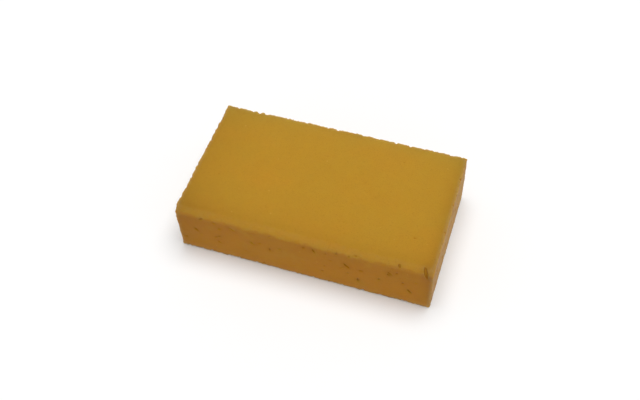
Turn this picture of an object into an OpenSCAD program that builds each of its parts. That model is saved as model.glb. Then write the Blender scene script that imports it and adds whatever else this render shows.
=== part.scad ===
// Cleaning sponge: one block of cut foam that lies flat, with its pores open on every face.
// The origin is the centre of the underside. +X runs along the length, +Y to the back and +Z up.

/* [Block] */
// Length of the block, left to right
length = 160; // [140:1:180]
// Depth of the block, front to back
depth = 88; // [76:1:100]
// Height of the block at its back, underside to top
height = 39; // [33:1:47]
// How much lower the top is at the front than at the back
fall = 3; // [2:0.5:4]

/* [Edges] */
// Radius of the cut edges and corners
edge_r = 0.8; // [0.6:0.1:1.2]
// Radius of the top front edge, which is rolled over
roll_r = 5; // [4:0.1:6]

/* [Slit pores] */
// Length of a usual slit pore at its widest
slit_len = 4.6; // [3.8:0.1:5.4]
// Width of a usual slit pore
slit_w = 1.5; // [1.2:0.1:1.8]
// Depth of a slit pore, as a share of its length
slit_sink = 0.32; // [0.28:0.02:0.38]

/* [Small pores] */
// Length of a usual round pore of the top and underside
pit_len = 2; // [1.6:0.1:2.4]
// Length of a usual bite where a pore breaks an edge
bite_len = 3.2; // [2.6:0.1:3.8]
// Width of a small pore or bite, as a share of its length
small_w = 0.6; // [0.5:0.05:0.7]
// Depth of a small pore or bite, as a share of its length
small_sink = 0.42; // [0.35:0.01:0.48]

/* [Pore counts] */
// Pores cut open on the back face
back_pores = 16; // [8:1:18]
// Pores cut open on each end face
end_pores = 8; // [4:1:10]
// Pores cut open on the underside
base_pores = 9; // [4:1:12]

/* [Hidden] */

foam = [0.72, 0.54, 0.16];
over = 1;

// Facets round a whole circle, for the edges, the slit pores and the small pores
edge_fn = 24;
slit_fn = 28;
small_fn = 14;

// Slope of the top, which begins where the back edge stops being round
slope = fall / (depth - edge_r);
slope_angle = atan(slope);

// Middle of the rolled edge, against the front face and the sloping top
roll_y = roll_r - depth / 2;
roll_z = top_at(roll_y) - roll_r / cos(slope_angle);

// Point where the sloping top hands over to the rolled edge
meet_y = roll_y - roll_r * sin(slope_angle);
meet_z = roll_z + roll_r * cos(slope_angle);

// Shares of a face that its pores keep within, along the face and up it
span_along = [0.06, 0.94];
span_up = [0.15, 0.82];

// Sizes and turns that the pores of a face range over: most slits stand rather than lie
slit_sizes = [0.6, 1.2];
slit_turns = [35, 145];
pit_sizes = [0.8, 1.4];
pit_turns = [0, 180];

// Steady steps that scatter the pores over those ranges with no two close together
step_along = 0.7549;
step_up = 0.5698;
step_size = 0.618;
step_turn = 0.43;

// A slit longer than this for its size is a torn one, and is narrower for its length
torn_size = 1.2;
torn_narrow = 0.8;

// The width of a slit has a fixed share, and the rest goes with its size
fixed_width = 0.45;

// Most that an edge bite leans to either side, and how fast that changes along the edge
bite_lean = 30;
lean_step = 7.3;

// Slit pores of the front face: share along, share up, size, turn from level
front_slits = [
    [0.177, 0.685, 0.70, -15],
    [0.230, 0.762, 1.40, -20],
    [0.308, 0.750, 0.60, 84],
    [0.305, 0.538, 1.00, -47],
    [0.276, 0.280, 0.60, 5],
    [0.377, 0.477, 1.25, 86],
    [0.513, 0.765, 0.90, 80],
    [0.552, 0.745, 1.10, -64],
    [0.593, 0.415, 0.60, 70],
    [0.583, 0.273, 0.75, 78],
    [0.617, 0.607, 0.60, 20],
    [0.679, 0.568, 1.50, -46],
    [0.683, 0.380, 0.60, 84],
    [0.722, 0.270, 1.05, 86],
    [0.734, 0.540, 0.90, 16],
    [0.803, 0.438, 0.80, 74],
    [0.843, 0.660, 1.10, -42],
    [0.867, 0.710, 0.70, 80],
    [0.881, 0.600, 0.50, 70],
    [0.892, 0.490, 0.70, 80],
    [0.919, 0.319, 1.20, -52],
    [0.940, 0.597, 0.60, 10],
    [0.976, 0.350, 0.50, 60],
    [0.885, 0.120, 0.50, 30],
    [0.095, 0.420, 0.50, -35],
    [0.470, 0.230, 0.50, 70]
];

// Slit pores on the rolled edge: share along, degrees up from the front face, size, turn from level
roll_slits = [
    [0.380, 8, 0.60, 60],
    [0.639, 6, 0.80, 82],
    [0.687, 10, 0.60, 84],
    [0.712, 30, 0.70, 12],
    [0.874, 41, 1.00, -66],
    [0.971, 31, 2.60, -68]
];

// Small round pores of the top: share along, share back, size
top_pits = [
    [0.099, 0.372, 0.8],
    [0.09, 0.44, 0.6],
    [0.32, 0.84, 0.8],
    [0.33, 0.19, 0.6],
    [0.42, 0.79, 0.6],
    [0.644, 0.14, 0.6],
    [0.63, 0.229, 0.7],
    [0.72, 0.50, 0.5],
    [0.77, 0.83, 0.7],
    [0.896, 0.238, 0.9]
];

// Bites out of the edges: share along, size
back_top_bites = [[0.05, 0.8], [0.112, 0.7], [0.14, 1.3], [0.262, 0.6], [0.344, 0.6], [0.433, 0.9],
    [0.475, 1.1], [0.582, 0.7], [0.645, 0.6], [0.714, 1.0], [0.772, 1.1], [0.868, 0.6], [0.934, 0.7]];
left_top_bites = [[0.20, 0.7], [0.29, 0.8], [0.41, 0.6], [0.58, 0.8], [0.65, 0.9], [0.86, 0.7]];
right_top_bites = [[0.34, 0.7], [0.57, 0.6], [0.80, 0.8]];
front_base_bites = [[0.03, 0.7], [0.086, 0.9], [0.124, 0.9], [0.212, 0.7], [0.24, 0.8], [0.313, 0.9],
    [0.40, 0.5], [0.546, 0.9], [0.66, 0.6], [0.742, 0.9], [0.81, 0.6], [0.893, 0.8]];
back_base_bites = [[0.12, 0.8], [0.37, 0.7], [0.61, 1.0], [0.84, 0.7]];
end_base_bites = [[0.22, 0.7], [0.49, 0.9], [0.77, 0.7]];

function frac(x) = x - floor(x);

// Value number i of a scatter over a range
function scatter(step, i, range) = range[0] + (range[1] - range[0]) * frac(step * i);

// Lean of an edge bite at a share along its edge
function lean(u) = bite_lean * (2 * frac(lean_step * u) - 1);

// Height of the top at a distance back from the middle
function top_at(y) = height - slope * max(depth / 2 - edge_r - y, 0);
function top_z(v) = top_at((v - 0.5) * depth);

// Draw only the named node, or everything
sponge();

module sponge() {
    color(foam)
        difference() {
            block();
            front_pores();
            top_pores();
            back_face_pores();
            end_face_pores();
            base_face_pores();
            edge_bites();
        }
}

// The whole block before its pores: where its side, plan and end outlines meet
module block() {
    intersection() {
        rotate([90, 0, 90])
            translate([0, 0, -length / 2 - over])
                linear_extrude(length + 2 * over) side_outline();
        translate([0, 0, -over])
            linear_extrude(height + 2 * over) soft_rect(length, depth, edge_r);
        rotate([90, 0, 0])
            translate([0, height / 2, -depth / 2 - over])
                linear_extrude(depth + 2 * over) soft_rect(length, height, edge_r);
    }
}

// Rectangle about its middle with rounded corners
module soft_rect(w, h, r) {
    square([w - 2 * r, h], center = true);
    square([w, h - 2 * r], center = true);
    for (x = [-1, 1], y = [-1, 1])
        translate([x * (w / 2 - r), y * (h / 2 - r)]) circle(r = r, $fn = edge_fn);
}

// Side outline with the front at the left: a soft rectangle less the slope of its top and the rolled edge
module side_outline() {
    difference() {
        translate([0, height / 2]) soft_rect(depth, height, edge_r);
        polygon([
            [depth / 2 - edge_r, height],
            [depth / 2 - edge_r, height + over],
            [-depth / 2 - over, height + over],
            [-depth / 2 - over, top_at(-depth / 2 - over)]
        ]);
        difference() {
            polygon([
                [-depth / 2 - over, roll_z],
                [roll_y, roll_z],
                [2 * meet_y - roll_y, 2 * meet_z - roll_z],
                [-depth / 2 - over, 2 * meet_z - roll_z]
            ]);
            translate([roll_y, roll_z]) circle(r = roll_r, $fn = 2 * edge_fn);
        }
    }
}

// Places a pore on a face at shares of its width and height, with its own Z pointing out of the foam
module on_front(u, v) {
    translate([(u - 0.5) * length, -depth / 2, v * height]) rotate([90, 0, 0]) children();
}
module on_back(u, v) {
    translate([(u - 0.5) * length, depth / 2, v * height]) rotate([90, 0, 180]) children();
}
module on_end(side, u, v) {
    translate([side * length / 2, (u - 0.5) * depth, v * height]) rotate([90, 0, side * 90]) children();
}
module on_top(u, v) {
    translate([(u - 0.5) * length, (v - 0.5) * depth, top_z(v)]) children();
}
module on_base(u, v) {
    translate([(u - 0.5) * length, (v - 0.5) * depth, 0]) rotate([180, 0, 0]) children();
}
module on_roll(u, up) {
    translate([(u - 0.5) * length, roll_y, roll_z]) rotate([90 - up, 0, 0]) translate([0, 0, roll_r]) children();
}

// Lens on edge, where two balls overlap: long in X, thin in Y, and sunk below the surface by its depth
module lens(len, wide, deep, turn, fn) {
    r = (len * len + wide * wide) / (4 * wide);
    rotate([0, 0, turn])
        translate([0, 0, len / 2 - deep])
            intersection() {
                translate([0, r - wide / 2, 0]) sphere(r = r, $fn = fn);
                translate([0, wide / 2 - r, 0]) sphere(r = r, $fn = fn);
            }
}

// Slit pore: a thin lens
module slit(size, turn) {
    len = slit_len * size;
    wide = slit_w * (fixed_width + (1 - fixed_width) * size);
    lens(len, size > torn_size ? torn_narrow * wide : wide, slit_sink * len, turn, slit_fn);
}

// Round pore: a short, wide lens
module pit(size, turn) {
    len = pit_len * size;
    lens(len, small_w * len, small_sink * len, turn, small_fn);
}

// Bite out of an edge: a short, wide lens across the edge, measured from the rounded edge inwards
module bite(size, turn) {
    len = bite_len * size;
    lens(len, small_w * len, small_sink * len + edge_r * (sqrt(2) - 1), 90 + turn, small_fn);
}

module front_pores() {
    for (p = front_slits)
        on_front(p[0], p[1]) slit(p[2], p[3]);
    for (p = roll_slits)
        on_roll(p[0], p[1]) slit(p[2], p[3]);
}

module top_pores() {
    for (i = [0:len(top_pits) - 1])
        on_top(top_pits[i][0], top_pits[i][1]) pit(top_pits[i][2], scatter(step_turn, i, pit_turns));
}

// The pores of the other faces are scattered, and number i of a face has a place, a size and a turn
module back_face_pores() {
    for (i = [1:back_pores])
        on_back(scatter(step_along, i, span_along), scatter(step_up, i, span_up)) scattered_slit(i);
}

module end_face_pores() {
    for (side = [-1, 1], n = [1:end_pores])
        let (i = side > 0 ? n + end_pores : n)
        on_end(side, scatter(step_along, i, span_along), scatter(step_up, i, span_up)) scattered_slit(i);
}

module base_face_pores() {
    for (i = [1:base_pores])
        on_base(scatter(step_along, i, span_along), scatter(step_up, i, span_up))
            pit(scatter(step_size, i, pit_sizes), scatter(step_turn, i, pit_turns));
}

module scattered_slit(i) {
    slit(scatter(step_size, i, slit_sizes), scatter(step_turn, i, slit_turns));
}

// Each bite leans a little, by its place along the edge
module edge_bites() {
    for (p = back_top_bites)
        translate([(p[0] - 0.5) * length, depth / 2, height]) rotate([-45, 0, 0]) bite(p[1], lean(p[0]));
    for (p = left_top_bites)
        translate([-length / 2, (p[0] - 0.5) * depth, top_z(p[0])]) rotate([0, -45, 0]) bite(p[1], 90 + lean(p[0]));
    for (p = right_top_bites)
        translate([length / 2, (p[0] - 0.5) * depth, top_z(p[0])]) rotate([0, 45, 0]) bite(p[1], 90 + lean(p[0]));
    for (p = front_base_bites)
        translate([(p[0] - 0.5) * length, -depth / 2, 0]) rotate([135, 0, 0]) bite(p[1], lean(p[0]));
    for (p = back_base_bites)
        translate([(p[0] - 0.5) * length, depth / 2, 0]) rotate([-135, 0, 0]) bite(p[1], lean(p[0]));
    for (side = [-1, 1], p = end_base_bites)
        translate([side * length / 2, side * (p[0] - 0.5) * depth, 0])
            rotate([0, side * 135, 0]) bite(p[1], 90 + lean(p[0]));
}
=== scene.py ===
import bpy
import numpy as np
import openvdb
from mathutils import Matrix, Vector


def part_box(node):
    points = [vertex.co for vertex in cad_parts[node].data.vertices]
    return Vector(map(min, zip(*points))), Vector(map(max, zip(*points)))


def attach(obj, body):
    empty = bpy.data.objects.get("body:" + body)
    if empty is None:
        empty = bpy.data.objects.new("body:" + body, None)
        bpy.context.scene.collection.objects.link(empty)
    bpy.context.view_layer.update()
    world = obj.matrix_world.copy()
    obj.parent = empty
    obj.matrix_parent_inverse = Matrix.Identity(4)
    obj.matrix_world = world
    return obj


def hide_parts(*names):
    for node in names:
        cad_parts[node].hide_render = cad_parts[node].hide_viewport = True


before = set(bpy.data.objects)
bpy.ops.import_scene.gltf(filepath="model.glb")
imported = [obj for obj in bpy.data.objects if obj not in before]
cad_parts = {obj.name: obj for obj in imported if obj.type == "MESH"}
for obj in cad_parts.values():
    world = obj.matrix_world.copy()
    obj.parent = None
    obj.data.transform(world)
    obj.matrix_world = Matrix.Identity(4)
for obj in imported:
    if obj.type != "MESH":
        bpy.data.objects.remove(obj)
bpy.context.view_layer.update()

# The foam is worked out in millimetres, on a grid of distances to its surface: below zero is foam
MM = 0.001
LOW, HIGH = (np.array(corner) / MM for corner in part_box("sponge"))
SIZE = HIGH - LOW
LENGTH, DEPTH, HEIGHT = SIZE

# Side of a grid cell, and of a cell in the grids half as fine
VOXEL = 0.4
COARSE = 2 * VOXEL

# Room left round the block, and how far from the surface the distances reach
MARGIN = 3.0
BAND = 4.0

# Layers of lumps, each with its size and strength, by which places wander and the faces swell
WANDER = ((0.9, 0.14), (2.6, 0.05))
SWELL = ((16, 0.08), (1.6, 0.012))

# Blurring the block shows its edges: distances change there by EDGE_FROM to EDGE_FROM + EDGE_RANGE
EDGE_FROM = 0.22
EDGE_RANGE = 0.25

# Share of the wandering that is left on flat faces
CALM = 0.15

# Height up to which the underside stays flat, and over how much more the foam grows uneven
FLAT_BASE = 0.4
BASE_FADE = 3

# Half size of the small pores: the smallest, what the largest adds, and how rare the larger ones are
SMALL_PORE = 0.45
PORE_GROWTH = 0.5
PORE_RARITY = 2.5

# Length, width and depth of a small pore as shares of that size
PORE_LONG = (1.0, 2.2)
PORE_WIDE = 0.8
PORE_DEEP = (0.6, 1.2)

# Mean spacing and range of half sizes of the nicks, on the roughest edges and on the others
ROUGH_NICKS = (2.4, 0.4, 0.9)
OTHER_NICKS = (3.4, 0.3, 0.6)

# How far a nick strays from its edge, and its length as a share of its size
NICK_STRAY = 0.2
NICK_LONG = (0.7, 1.3)

# How widely the rims of pores and of nicks are rounded over, and the room left round each for that
PORE_RIM = 0.25
NICK_RIM = 0.15
RIM_ROOM = 1.5

# Deepest that a pore is shown below a closed skin, which bridges gaps up to twice SKIN_REACH wide
PORE_DEPTH = 0.6
SKIN_REACH = 1.6

# How near the surface the skin is heeded, and the depth from which pores get their full painted shade
SKIN_ZONE = 2.5
PORE_SHADE_DEPTH = 1.5

# Edges of the block: the axis that each runs along, then the low or high side of the two others
ROLLED_EDGE = (0, (0, 1))
ROUGH_EDGES = ((0, (1, 1)), (1, (0, 1)))

# Faces of the block: middle, direction across, direction up, and how many small pores it has
FACES = {
    "front": ((0, LOW[1], HEIGHT / 2), (1, 0, 0), (0, 0, 1), 22),
    "back": ((0, HIGH[1], HEIGHT / 2), (-1, 0, 0), (0, 0, 1), 60),
    "left": ((LOW[0], 0, HEIGHT / 2), (0, -1, 0), (0, 0, 1), 30),
    "right": ((HIGH[0], 0, HEIGHT / 2), (0, 1, 0), (0, 0, 1), 30),
    "base": ((0, 0, 0), (1, 0, 0), (0, -1, 0), 70),
}

# Triangles left in the piece
TRIANGLES = 180000

FIRST = np.floor((LOW - MARGIN) / VOXEL).astype(int)
SHAPE = tuple(np.ceil((HIGH + MARGIN) / VOXEL).astype(int) - FIRST + 1)
ORIGIN = FIRST * VOXEL
AXES = [ORIGIN[k] + VOXEL * np.arange(SHAPE[k], dtype=np.float32) for k in range(3)]
random = np.random.default_rng(11)


# Helpers for the grid of distances
def spline_rows(places, step):
    """Weights that blend a row of random knots, one every step, into a smooth value at each place."""
    at = (places - places[0]) / step
    left = np.floor(at).astype(int)
    t = at - left
    rows = np.zeros((len(places), left.max() + 4), np.float32)
    blends = [(1 - t) ** 3, 3 * t**3 - 6 * t**2 + 4, -3 * t**3 + 3 * t**2 + 3 * t + 1, t**3]
    for k, blend in enumerate(blends):
        rows[np.arange(len(places)), left + k] = blend / 6
    return rows


def smooth_field(step):
    """Random values over the whole grid that change smoothly, with lumps about two steps across."""
    rows = [spline_rows(AXES[k], step) for k in range(3)]
    knots = random.standard_normal([r.shape[1] for r in rows]).astype(np.float32)
    field = (rows[0] @ knots.reshape(len(knots), -1)).reshape(-1, *knots.shape[1:])
    return (rows[1] @ field) @ (2.8 * rows[2].T)


def sample(values, places, voxel=VOXEL):
    """Values of the grid between its knots, at places in millimetres."""
    at = np.clip((places - ORIGIN) / voxel, 0, np.array(values.shape) - 1.001)
    cell = at.astype(int)
    t = (at - cell).astype(np.float32)
    flat = values.ravel()
    strides = (values.shape[1] * values.shape[2], values.shape[2], 1)
    base = (cell * strides).sum(-1)
    found = 0
    for corner in range(8):
        bits = [(corner >> k) & 1 for k in range(3)]
        weight = 1
        for k in range(3):
            weight = weight * (t[..., k] if bits[k] else 1 - t[..., k])
        found = found + weight * flat[base + sum(b * s for b, s in zip(bits, strides))]
    return found


def level_set(points, triangles, quads, shape, voxel):
    """Distances in millimetres to a closed mesh, as far as BAND to either side."""
    grid = openvdb.FloatGrid.createLevelSetFromPolygons(
        (points - ORIGIN).astype(np.float32),
        triangles=triangles.astype(np.uint32),
        quads=quads.astype(np.uint32),
        transform=openvdb.createLinearTransform(voxel),
        halfWidth=BAND / voxel,
    )
    values = np.empty(shape, np.float32)
    grid.copyToArray(values, ijk=(0, 0, 0))
    return values


def polygons(values, height, voxel):
    """Points in millimetres, triangles and quads of the surface where the grid has that height."""
    grid = openvdb.FloatGrid(BAND)
    grid.copyFromArray(values, ijk=(0, 0, 0))
    grid.transform = openvdb.createLinearTransform(voxel)
    points, triangles, quads = grid.convertToPolygons(height, 0.0)
    return points + ORIGIN, triangles, quads


def soft_max(a, b, blend):
    """The larger of two distances, with the crease between them rounded over."""
    share = np.clip(0.5 + 0.5 * (a - b) / blend, 0, 1)
    return a * share + b * (1 - share) + blend * share * (1 - share)


# The block itself, its pores and its nicked edges
def cad_distances():
    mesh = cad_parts["sponge"].data
    mesh.calc_loop_triangles()
    points = np.empty(3 * len(mesh.vertices), np.float32)
    triangles = np.empty(3 * len(mesh.loop_triangles), np.int32)
    mesh.vertices.foreach_get("co", points)
    mesh.loop_triangles.foreach_get("vertices", triangles)
    none = np.zeros((0, 4), np.uint32)
    return level_set(points.reshape(-1, 3) / MM, triangles.reshape(-1, 3), none, SHAPE, VOXEL)


def carve(values, places, centre, turned, half, rim):
    """Cuts one pore, a ball stretched to half along the rows of turned, out of the foam."""
    reach = max(half) + RIM_ROOM
    first = np.maximum(((centre - reach - ORIGIN) / VOXEL).astype(int), 0)
    last = np.minimum(((centre + reach - ORIGIN) / VOXEL).astype(int) + 2, SHAPE)
    block = tuple(slice(a, b) for a, b in zip(first, last))
    at = (places[block] - centre) @ turned.T
    near = np.linalg.norm(at / half, axis=-1)
    slope = np.linalg.norm(at / np.square(half), axis=-1)
    ball = near * (near - 1) / np.maximum(slope, 1e-6)
    values[block] = soft_max(values[block], -ball, rim)


def top_of(solid, y):
    """Height of the top of the block at a place along its depth."""
    inside = (solid < 0).any(0)
    rows = np.flatnonzero(inside.any(1))
    heights = AXES[2][SHAPE[2] - 1 - np.argmax(inside[rows, ::-1], 1)] + VOXEL / 2
    return np.interp(y, AXES[1][rows], heights)


def small_pores(values, places):
    """Pores of the faces that are too small for the solid."""
    for middle, across, up, count in FACES.values():
        middle, across, up = np.array(middle), np.array(across), np.array(up)
        out = np.cross(across, up)
        for _ in range(count):
            u, v = random.uniform(-0.49, 0.49, 2)
            turn = random.uniform(0, np.pi)
            size = SMALL_PORE + PORE_GROWTH * random.uniform(0, 1) ** PORE_RARITY
            along = np.cos(turn) * across + np.sin(turn) * up
            turned = np.array([along, np.cross(out, along), out])
            half = size * np.array([random.uniform(*PORE_LONG), PORE_WIDE, random.uniform(*PORE_DEEP)])
            centre = middle + u * SIZE * across + v * SIZE * up
            carve(values, places, centre, turned, half, PORE_RIM)


def edge_nicks(values, places, solid):
    """Small bites along the cut edges, where the knife opened a cell. The rolled edge has none."""
    for k in range(3):
        others = [a for a in range(3) if a != k]
        for side in ((0, 0), (0, 1), (1, 0), (1, 1)):
            if (k, side) == ROLLED_EDGE:
                continue
            spacing, smallest, largest = ROUGH_NICKS if (k, side) in ROUGH_EDGES else OTHER_NICKS
            at = LOW[k]
            while at < HIGH[k]:
                at += random.exponential(spacing)
                centre = np.zeros(3)
                centre[k] = at
                for a, end in zip(others, side):
                    centre[a] = HIGH[a] if end else LOW[a]
                if centre[2] > HEIGHT / 2 and k != 2:
                    centre[2] = top_of(solid, centre[1])
                centre += random.uniform(-NICK_STRAY, NICK_STRAY, 3)
                size = random.uniform(smallest, largest)
                half = size * np.array([random.uniform(*NICK_LONG), 1.0, 1.0])
                carve(values, places, centre, np.eye(3)[[k] + others], half, NICK_RIM)


def blurred(values, width):
    """Each value averaged with its neighbours by two passes of a box, width cells to either side."""
    for axis in range(3):
        for _ in range(2):
            ends = [(0, 0)] * 3
            ends[axis] = (width + 1, width)
            total = np.cumsum(np.pad(values, ends, mode="edge"), axis=axis, dtype=np.float64)
            total = np.moveaxis(total, axis, 0)
            total = (total[2 * width + 1 :] - total[: -2 * width - 1]) / (2 * width + 1)
            values = np.moveaxis(total, 0, axis).astype(np.float32)
    return values


def halved(values):
    """Every second value of the grid, whose cells are then as wide as COARSE."""
    return np.ascontiguousarray(values[::2, ::2, ::2])


def lumps(layers):
    return sum(smooth_field(size) * strength for size, strength in layers)


def foam_distances():
    """Distances to the foam, and two grids half as fine: to a skin over it, and how pored it is."""
    solid = cad_distances()
    grid = np.stack(np.meshgrid(*AXES, indexing="ij"), -1)

    # Places wander most near the edges, and the underside stays flat
    ragged = np.clip((np.abs(blurred(solid, 3) - solid) - EDGE_FROM) / EDGE_RANGE, 0, 1)
    off_base = np.clip((AXES[2] - FLAT_BASE) / BASE_FADE, 0, 1)
    wander = np.stack([lumps(WANDER) for _ in range(3)], -1)
    wander *= (CALM + (1 - CALM) * ragged)[..., None]
    wander[..., 2] *= off_base
    places = grid + wander
    values = sample(solid, places)
    values += off_base * lumps(SWELL)
    small_pores(values, places)
    edge_nicks(values, places, solid)

    # A closed skin over the pores keeps them shallow
    coarse = halved(values)
    skin = level_set(*polygons(coarse, SKIN_REACH, COARSE), coarse.shape, COARSE) + SKIN_REACH
    near = np.nonzero(np.abs(values) < SKIN_ZONE)
    deepest = sample(skin, ORIGIN + VOXEL * np.stack(near, -1), COARSE) + PORE_DEPTH
    values[near] = np.minimum(values[near], deepest)
    return values, skin, blurred(np.clip(coarse - skin, 0, PORE_SHADE_DEPTH), 2)


def make_foam(values):
    points, triangles, quads = polygons(values, 0.0, VOXEL)
    mesh = bpy.data.meshes.new("foam_block")
    faces = [tuple(t) for t in triangles.tolist()] + [tuple(q) for q in quads.tolist()]
    mesh.from_pydata((points * MM).tolist(), [], faces)
    piece = bpy.data.objects.new("foam_block", mesh)
    bpy.context.scene.collection.objects.link(piece)
    return piece


def shown_mesh(piece, values, skin, pores):
    """Leaves fewer, larger faces where the foam is flat, with smooth normals and the material's masks."""
    thin = piece.modifiers.new("thin", "DECIMATE")
    thin.ratio = TRIANGLES / sum(len(p.vertices) - 2 for p in piece.data.polygons)
    bpy.context.view_layer.update()
    thinned = piece.evaluated_get(bpy.context.evaluated_depsgraph_get())
    whole = bpy.data.meshes.new_from_object(thinned)
    piece.modifiers.clear()
    piece.data = whole
    points = np.empty(3 * len(whole.vertices), np.float32)
    whole.vertices.foreach_get("co", points)
    points = points.reshape(-1, 3) / MM

    masks = {
        "pore_depth": np.maximum(-sample(skin, points, COARSE), 0),
        "pore_shade": sample(pores, points, COARSE),
        "edge_bend": sample(blurred(halved(values), 2), points, COARSE),
    }
    for name, mask in masks.items():
        stored = whole.attributes.new(name, "FLOAT", "POINT")
        stored.data.foreach_set("value", mask.astype(np.float32))

    steps = VOXEL * np.eye(3)
    slope = np.stack([sample(values, points + s) - sample(values, points - s) for s in steps], -1)
    slope /= np.maximum(np.linalg.norm(slope, axis=-1, keepdims=True), 1e-9)
    whole.shade_smooth()
    whole.normals_split_custom_set_from_vertices(slope.tolist())


def bake_map(mesh):
    """One flat chart for each face of the block, laid side by side, so that a bake keeps its scale."""
    gap = 2.0
    side = 2 * HEIGHT + LENGTH + 4 * gap
    points = np.empty(3 * len(mesh.vertices), np.float32)
    mesh.vertices.foreach_get("co", points)
    points = points.reshape(-1, 3) / MM
    corners = np.empty(len(mesh.loops), np.int32)
    mesh.loops.foreach_get("vertex_index", corners)
    starts = np.empty(len(mesh.polygons), np.int32)
    sizes = np.empty(len(mesh.polygons), np.int32)
    mesh.polygons.foreach_get("loop_start", starts)
    mesh.polygons.foreach_get("loop_total", sizes)
    centres = np.add.reduceat(points[corners], starts) / sizes[:, None]
    inside = np.stack([centres - LOW, HIGH - centres], -1).reshape(-1, 6)
    nearest = np.repeat(np.argmin(inside, 1), sizes)
    p = points[corners] - LOW
    x, y, z = p[:, 0], p[:, 1], p[:, 2]
    below = LENGTH + 2 * gap
    # In the order that argmin finds them: left, right, front, back, base, top
    charts = [
        (gap + y, below + HEIGHT + gap + z),
        (2 * gap + DEPTH + y, below + HEIGHT + gap + z),
        (3 * gap + 2 * DEPTH + z, gap + x),
        (gap + x, below + z),
        (2 * gap + DEPTH + y, gap + x),
        (gap + y, gap + x),
    ]
    u, v = (np.choose(nearest, [chart[k] for chart in charts]) for k in range(2))
    layer = mesh.uv_layers.new(name="OFBake")
    layer.data.foreach_set("uv", (np.stack([u, v], -1) / side).astype(np.float32).ravel())


# Colours of the foam, in linear light
AMBER = (0.454, 0.2495, 0.0166, 1)
RED_AMBER = (0.478, 0.2465, 0.0157, 1)
DEEP_AMBER = (0.442, 0.235, 0.0153, 1)
# Painted shade near the edges of the top: greener at the back, black towards the ends and the front left
# corner, dark red towards the rolled edge
SHADE_GREEN_AMBER = (0.32, 0.248, 0.036, 1)
SHADE_BLACK = (0, 0, 0, 1)
SHADE_DARK_RED = (0.06, 0, 0, 1)
# Painted light at the foot of the long sides, where the floor throws light back
FOOT_BOUNCE_LIGHT = (0.60, 0.27, 0.05, 1)
# Painted light that makes the rolled edge paler
ROLL_PAINTED_LIGHT = (0.70, 0.38, 0.022, 1)
# Greyer edges: partly wear and fuzz, partly painted sheen where they catch the light
WORN_AND_SHEEN = (0.34, 0.26, 0.115, 1)
# Redder floor of deep pores, a painted glow against their shade
PORE_FLOOR_GLOW = (0.42, 0.165, 0.009, 1)
OPEN_CELL = (0.24, 0.095, 0.007, 1)
SPECK = (0.72, 0.48, 0.10, 1)

# Tints that its colour is multiplied by
# Painted shade of the long sides, redder and darker than the top
SIDE_SHADE_TINT = (0.85, 0.665, 0.515, 1)
PATCH_TINT = (0.98, 0.965, 0.95, 1)
# Painted shade of the ends
END_SHADE_TINT = (0.635, 0.545, 0.42, 1)
# Painted shade, deeper in pores and round them
DEPTH_SHADE_TINT = (0.89, 0.80, 0.55, 1)
PORE_SHADE_TINT = (0.92, 0.89, 0.8, 1)


# Materials
def material(name):
    made = bpy.data.materials.new(name)
    made.use_nodes = True
    tree = made.node_tree
    return made, tree, tree.nodes["Principled BSDF"]


def add(tree, kind, inputs=None, **settings):
    """Adds a node. Each of its inputs is linked to a socket or set to a value."""
    made = tree.nodes.new(kind)
    for key, value in settings.items():
        setattr(made, key, value)
    for key, value in (inputs or {}).items():
        if isinstance(value, bpy.types.NodeSocket):
            tree.links.new(value, made.inputs[key])
        else:
            made.inputs[key].default_value = value
    return made


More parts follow.
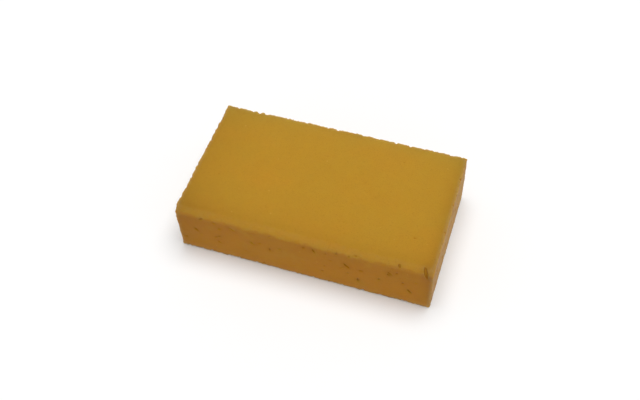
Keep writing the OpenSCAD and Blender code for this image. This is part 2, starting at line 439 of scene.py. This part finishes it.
def foam_material():
    """Mottled amber foam, with painted shade on its sides, towards its ends and edges and in its pores,
    painted light on its rolled edge and foot, and greyer edges, partly worn and partly painted sheen.
    """
    made, tree, shader = material("foam")
    coordinates = add(tree, "ShaderNodeTexCoord").outputs
    place = coordinates["Object"]
    facing = add(tree, "ShaderNodeSeparateXYZ", {0: coordinates["Normal"]}).outputs
    x, y, z = add(tree, "ShaderNodeSeparateXYZ", {0: place}).outputs

    def math(operation, *values):
        return add(tree, "ShaderNodeMath", dict(enumerate(values)), operation=operation).outputs[0]

    def ramp(value, low, high, to_low=0.0, to_high=1.0):
        inputs = {"Value": value, "From Min": low, "From Max": high, "To Min": to_low, "To Max": to_high}
        return add(tree, "ShaderNodeMapRange", inputs, interpolation_type="SMOOTHSTEP").outputs["Result"]

    def mix(share, a, b, blend="MIX"):
        inputs = {0: share, 6: a, 7: b}
        return add(tree, "ShaderNodeMix", inputs, data_type="RGBA", blend_type=blend).outputs[2]

    def noise(vector, size, detail):
        inputs = {"Vector": vector, "Scale": 1 / (size * MM), "Detail": detail}
        return add(tree, "ShaderNodeTexNoise", inputs).outputs["Fac"]

    def stored(name):
        return add(tree, "ShaderNodeAttribute", attribute_name=name).outputs["Fac"]

    # Broad, faint mottling between a greener and a redder amber
    streaks = add(tree, "ShaderNodeMapping", {"Vector": place, "Scale": (0.6, 1.0, 1.0)}).outputs[0]
    colour = mix(ramp(noise(streaks, 26, 3.0), 0.3, 0.7), AMBER, RED_AMBER)
    colour = mix(ramp(noise(place, 7, 3.0), 0.35, 0.7, 0.0, 0.35), colour, DEEP_AMBER)

    # Painted shade: the long sides redder and darker than the top, and the ends darker; painted light:
    # the long sides a little brighter towards the floor
    uneven = ramp(noise(place, 8, 2.0), 0.3, 0.7, -0.09, 0.09)
    sides = ramp(math("ADD", math("ABSOLUTE", facing[1]), uneven), 0.84, 0.94)
    ends = ramp(math("ABSOLUTE", facing[0]), 0.3, 0.8)
    # Painted light: the long sides brighter towards the floor
    floor_bounce_lift = ramp(z, 0.0, HEIGHT * MM, 1.12, 0.97)
    colour = mix(sides, colour, SIDE_SHADE_TINT, "MULTIPLY")
    colour = mix(sides, colour, floor_bounce_lift, "MULTIPLY")
    patches = ramp(noise(place, 11, 3.0), 0.35, 0.65)
    colour = mix(math("MULTIPLY", sides, patches), colour, PATCH_TINT, "MULTIPLY")
    colour = mix(ends, colour, END_SHADE_TINT, "MULTIPLY")

    def near(distance, reach, flat):
        """A share that fades with the distance from an edge, and is left out where flat is one."""
        share = math("EXPONENT", math("MULTIPLY", distance, -1 / (reach * MM)))
        return math("MULTIPLY", share, math("SUBTRACT", 1.0, flat))

    # Painted shade: darker towards the two ends, towards the rolled edge and most at the front left
    # corner, and greener at the back; painted light: paler at the foot
    left = near(math("ADD", x, LENGTH * MM / 2), 20, ends)
    right = near(math("SUBTRACT", LENGTH * MM / 2, x), 5, ends)
    front = near(math("MAXIMUM", math("ADD", y, DEPTH * MM / 2), 6 * MM), 9, sides)
    back = near(math("SUBTRACT", DEPTH * MM / 2, y), 8, math("MAXIMUM", sides, ends))
    foot_light = near(z, 2, math("SUBTRACT", 1.0, sides))
    colour = mix(math("MULTIPLY", left, 0.18), colour, SHADE_BLACK)
    colour = mix(math("MULTIPLY", right, 0.26), colour, SHADE_BLACK)
    colour = mix(math("MULTIPLY", front, 0.22), colour, SHADE_DARK_RED)
    colour = mix(math("MULTIPLY", math("MULTIPLY", left, front), 0.3), colour, SHADE_BLACK)
    colour = mix(math("MULTIPLY", back, 0.4), colour, SHADE_GREEN_AMBER)
    colour = mix(foot_light, colour, FOOT_BOUNCE_LIGHT)

    # Painted light makes the rolled edge paler; edges are greyer, partly wear and partly painted sheen;
    # painted shade darkens the pores and round them, with redder floors in deep ones
    roll_light = math("MULTIPLY", math("MULTIPLY", facing[1], facing[1]), facing[2])
    colour = mix(math("MULTIPLY", roll_light, 0.5), colour, ROLL_PAINTED_LIGHT)
    bend = stored("edge_bend")
    depth = stored("pore_depth")
    round_pore_shade = stored("pore_shade")
    colour = mix(ramp(bend, 0.1, 0.6, 0.0, 0.32), colour, WORN_AND_SHEEN)
    colour = mix(ramp(depth, 0.02, 0.3), colour, DEPTH_SHADE_TINT, "MULTIPLY")
    colour = mix(ramp(round_pore_shade, 0.0, 0.15), colour, PORE_SHADE_TINT, "MULTIPLY")
    colour = mix(ramp(depth, 0.3, PORE_DEPTH, 0.0, 0.35), colour, PORE_FLOOR_GLOW)

    def dots(spacing, low, high):
        """A share that is one in the middle of dots scattered at that spacing in millimetres."""
        cells = add(tree, "ShaderNodeTexVoronoi", {"Vector": place, "Scale": 1 / (spacing * MM)})
        return ramp(cells.outputs["Distance"], high, low)

    # Fine open cells, and a few pale specks
    holes = math("MAXIMUM", dots(0.62, 0.2, 0.42), dots(1.9, 0.14, 0.24))
    colour = mix(math("MULTIPLY", holes, 0.22), colour, OPEN_CELL)
    colour = mix(math("MULTIPLY", dots(7.5, 0.02, 0.08), 0.32), colour, SPECK)
    tree.links.new(colour, shader.inputs["Base Color"])
    grain = math("ADD", math("MULTIPLY", holes, -1.0), noise(place, 0.9, 2.0))
    bump = add(tree, "ShaderNodeBump", {"Height": grain, "Strength": 0.35, "Distance": 0.00012})
    tree.links.new(bump.outputs["Normal"], shader.inputs["Normal"])
    tree.links.new(ramp(depth, 0.0, PORE_DEPTH, 0.84, 0.96), shader.inputs["Roughness"])

    shader.inputs["Specular IOR Level"].default_value = 0.15
    shader.inputs["Subsurface Weight"].default_value = 1.0
    shader.inputs["Subsurface Radius"].default_value = (1.0, 0.7, 0.3)
    shader.inputs["Subsurface Scale"].default_value = 0.005
    shader.inputs["Sheen Weight"].default_value = 0.10
    shader.inputs["Sheen Roughness"].default_value = 0.4
    return made


def floor_material():
    made, _, shader = material("pale_floor")
    shader.inputs["Base Color"].default_value = (0.9, 0.9, 0.9, 1)
    shader.inputs["Roughness"].default_value = 0.9
    shader.inputs["Specular IOR Level"].default_value = 0.2
    return made


# The piece
foam_values, foam_skin, foam_pores = foam_distances()
piece = make_foam(foam_values)
shown_mesh(piece, foam_values, foam_skin, foam_pores)
bake_map(piece.data)
piece.data.materials.append(foam_material())
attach(piece, "root")
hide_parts("sponge")

# Pale floor, and half of its width
FLOOR_REACH = 6.0
floor_mesh = bpy.data.meshes.new("floor")
floor_corners = [(x * FLOOR_REACH, y * FLOOR_REACH, 0) for x, y in ((-1, -1), (1, -1), (1, 1), (-1, 1))]
floor_mesh.from_pydata(floor_corners, [], [(0, 1, 2, 3)])
floor = bpy.data.objects.new("floor", floor_mesh)
floor.data.materials.append(floor_material())
bpy.context.scene.collection.objects.link(floor)

# One very soft light from above
KEY_AHEAD = Vector((-0.1, -0.15, -1.3))
key = bpy.data.lights.new("key", "SUN")
key.angle = 0.9
key.energy = 2.72
overhead = bpy.data.objects.new("key", key)
overhead.rotation_euler = KEY_AHEAD.to_track_quat("-Z", "Y").to_euler()
bpy.context.scene.collection.objects.link(overhead)

# A white studio round it, whose strength falls from 1 at the horizon to 0.2 overhead
world = bpy.data.worlds.new("studio")
world.use_nodes = True
studio = world.node_tree
around = add(studio, "ShaderNodeTexCoord").outputs["Generated"]
inputs = {
    "Value": add(studio, "ShaderNodeSeparateXYZ", {0: around}).outputs["Z"],
    "From Min": 0.19,
    "From Max": 0.44,
    "To Min": 1.0,
    "To Max": 0.2,
}
glow = add(studio, "ShaderNodeMapRange", inputs, interpolation_type="SMOOTHSTEP")
studio.links.new(glow.outputs["Result"], studio.nodes["Background"].inputs["Strength"])
studio.nodes["Background"].inputs["Color"].default_value = (1, 1, 1, 1)
bpy.context.scene.world = world
bpy.context.scene.view_settings.view_transform = "Standard"

# Camera, at the place and angle fitted to the corners of the block in the photo
CAMERA_PLACE = Vector((0.11332, -0.30969, 0.44237))
CAMERA_RIGHT = Vector((0.94894, 0.31403, -0.02999))
CAMERA_AHEAD = Vector((-0.21589, 0.57720, -0.78755))
up = CAMERA_RIGHT.cross(CAMERA_AHEAD).normalized()
right = CAMERA_AHEAD.cross(up).normalized()
turned = Matrix((right, up, -CAMERA_AHEAD)).transposed().to_4x4()
camera = bpy.data.objects.new("camera", bpy.data.cameras.new("camera"))
camera.data.sensor_width = 36
camera.data.lens = 48.156
camera.matrix_world = Matrix.Translation(CAMERA_PLACE) @ turned
camera.data.clip_end = 50
bpy.context.scene.collection.objects.link(camera)
bpy.context.scene.camera = camera
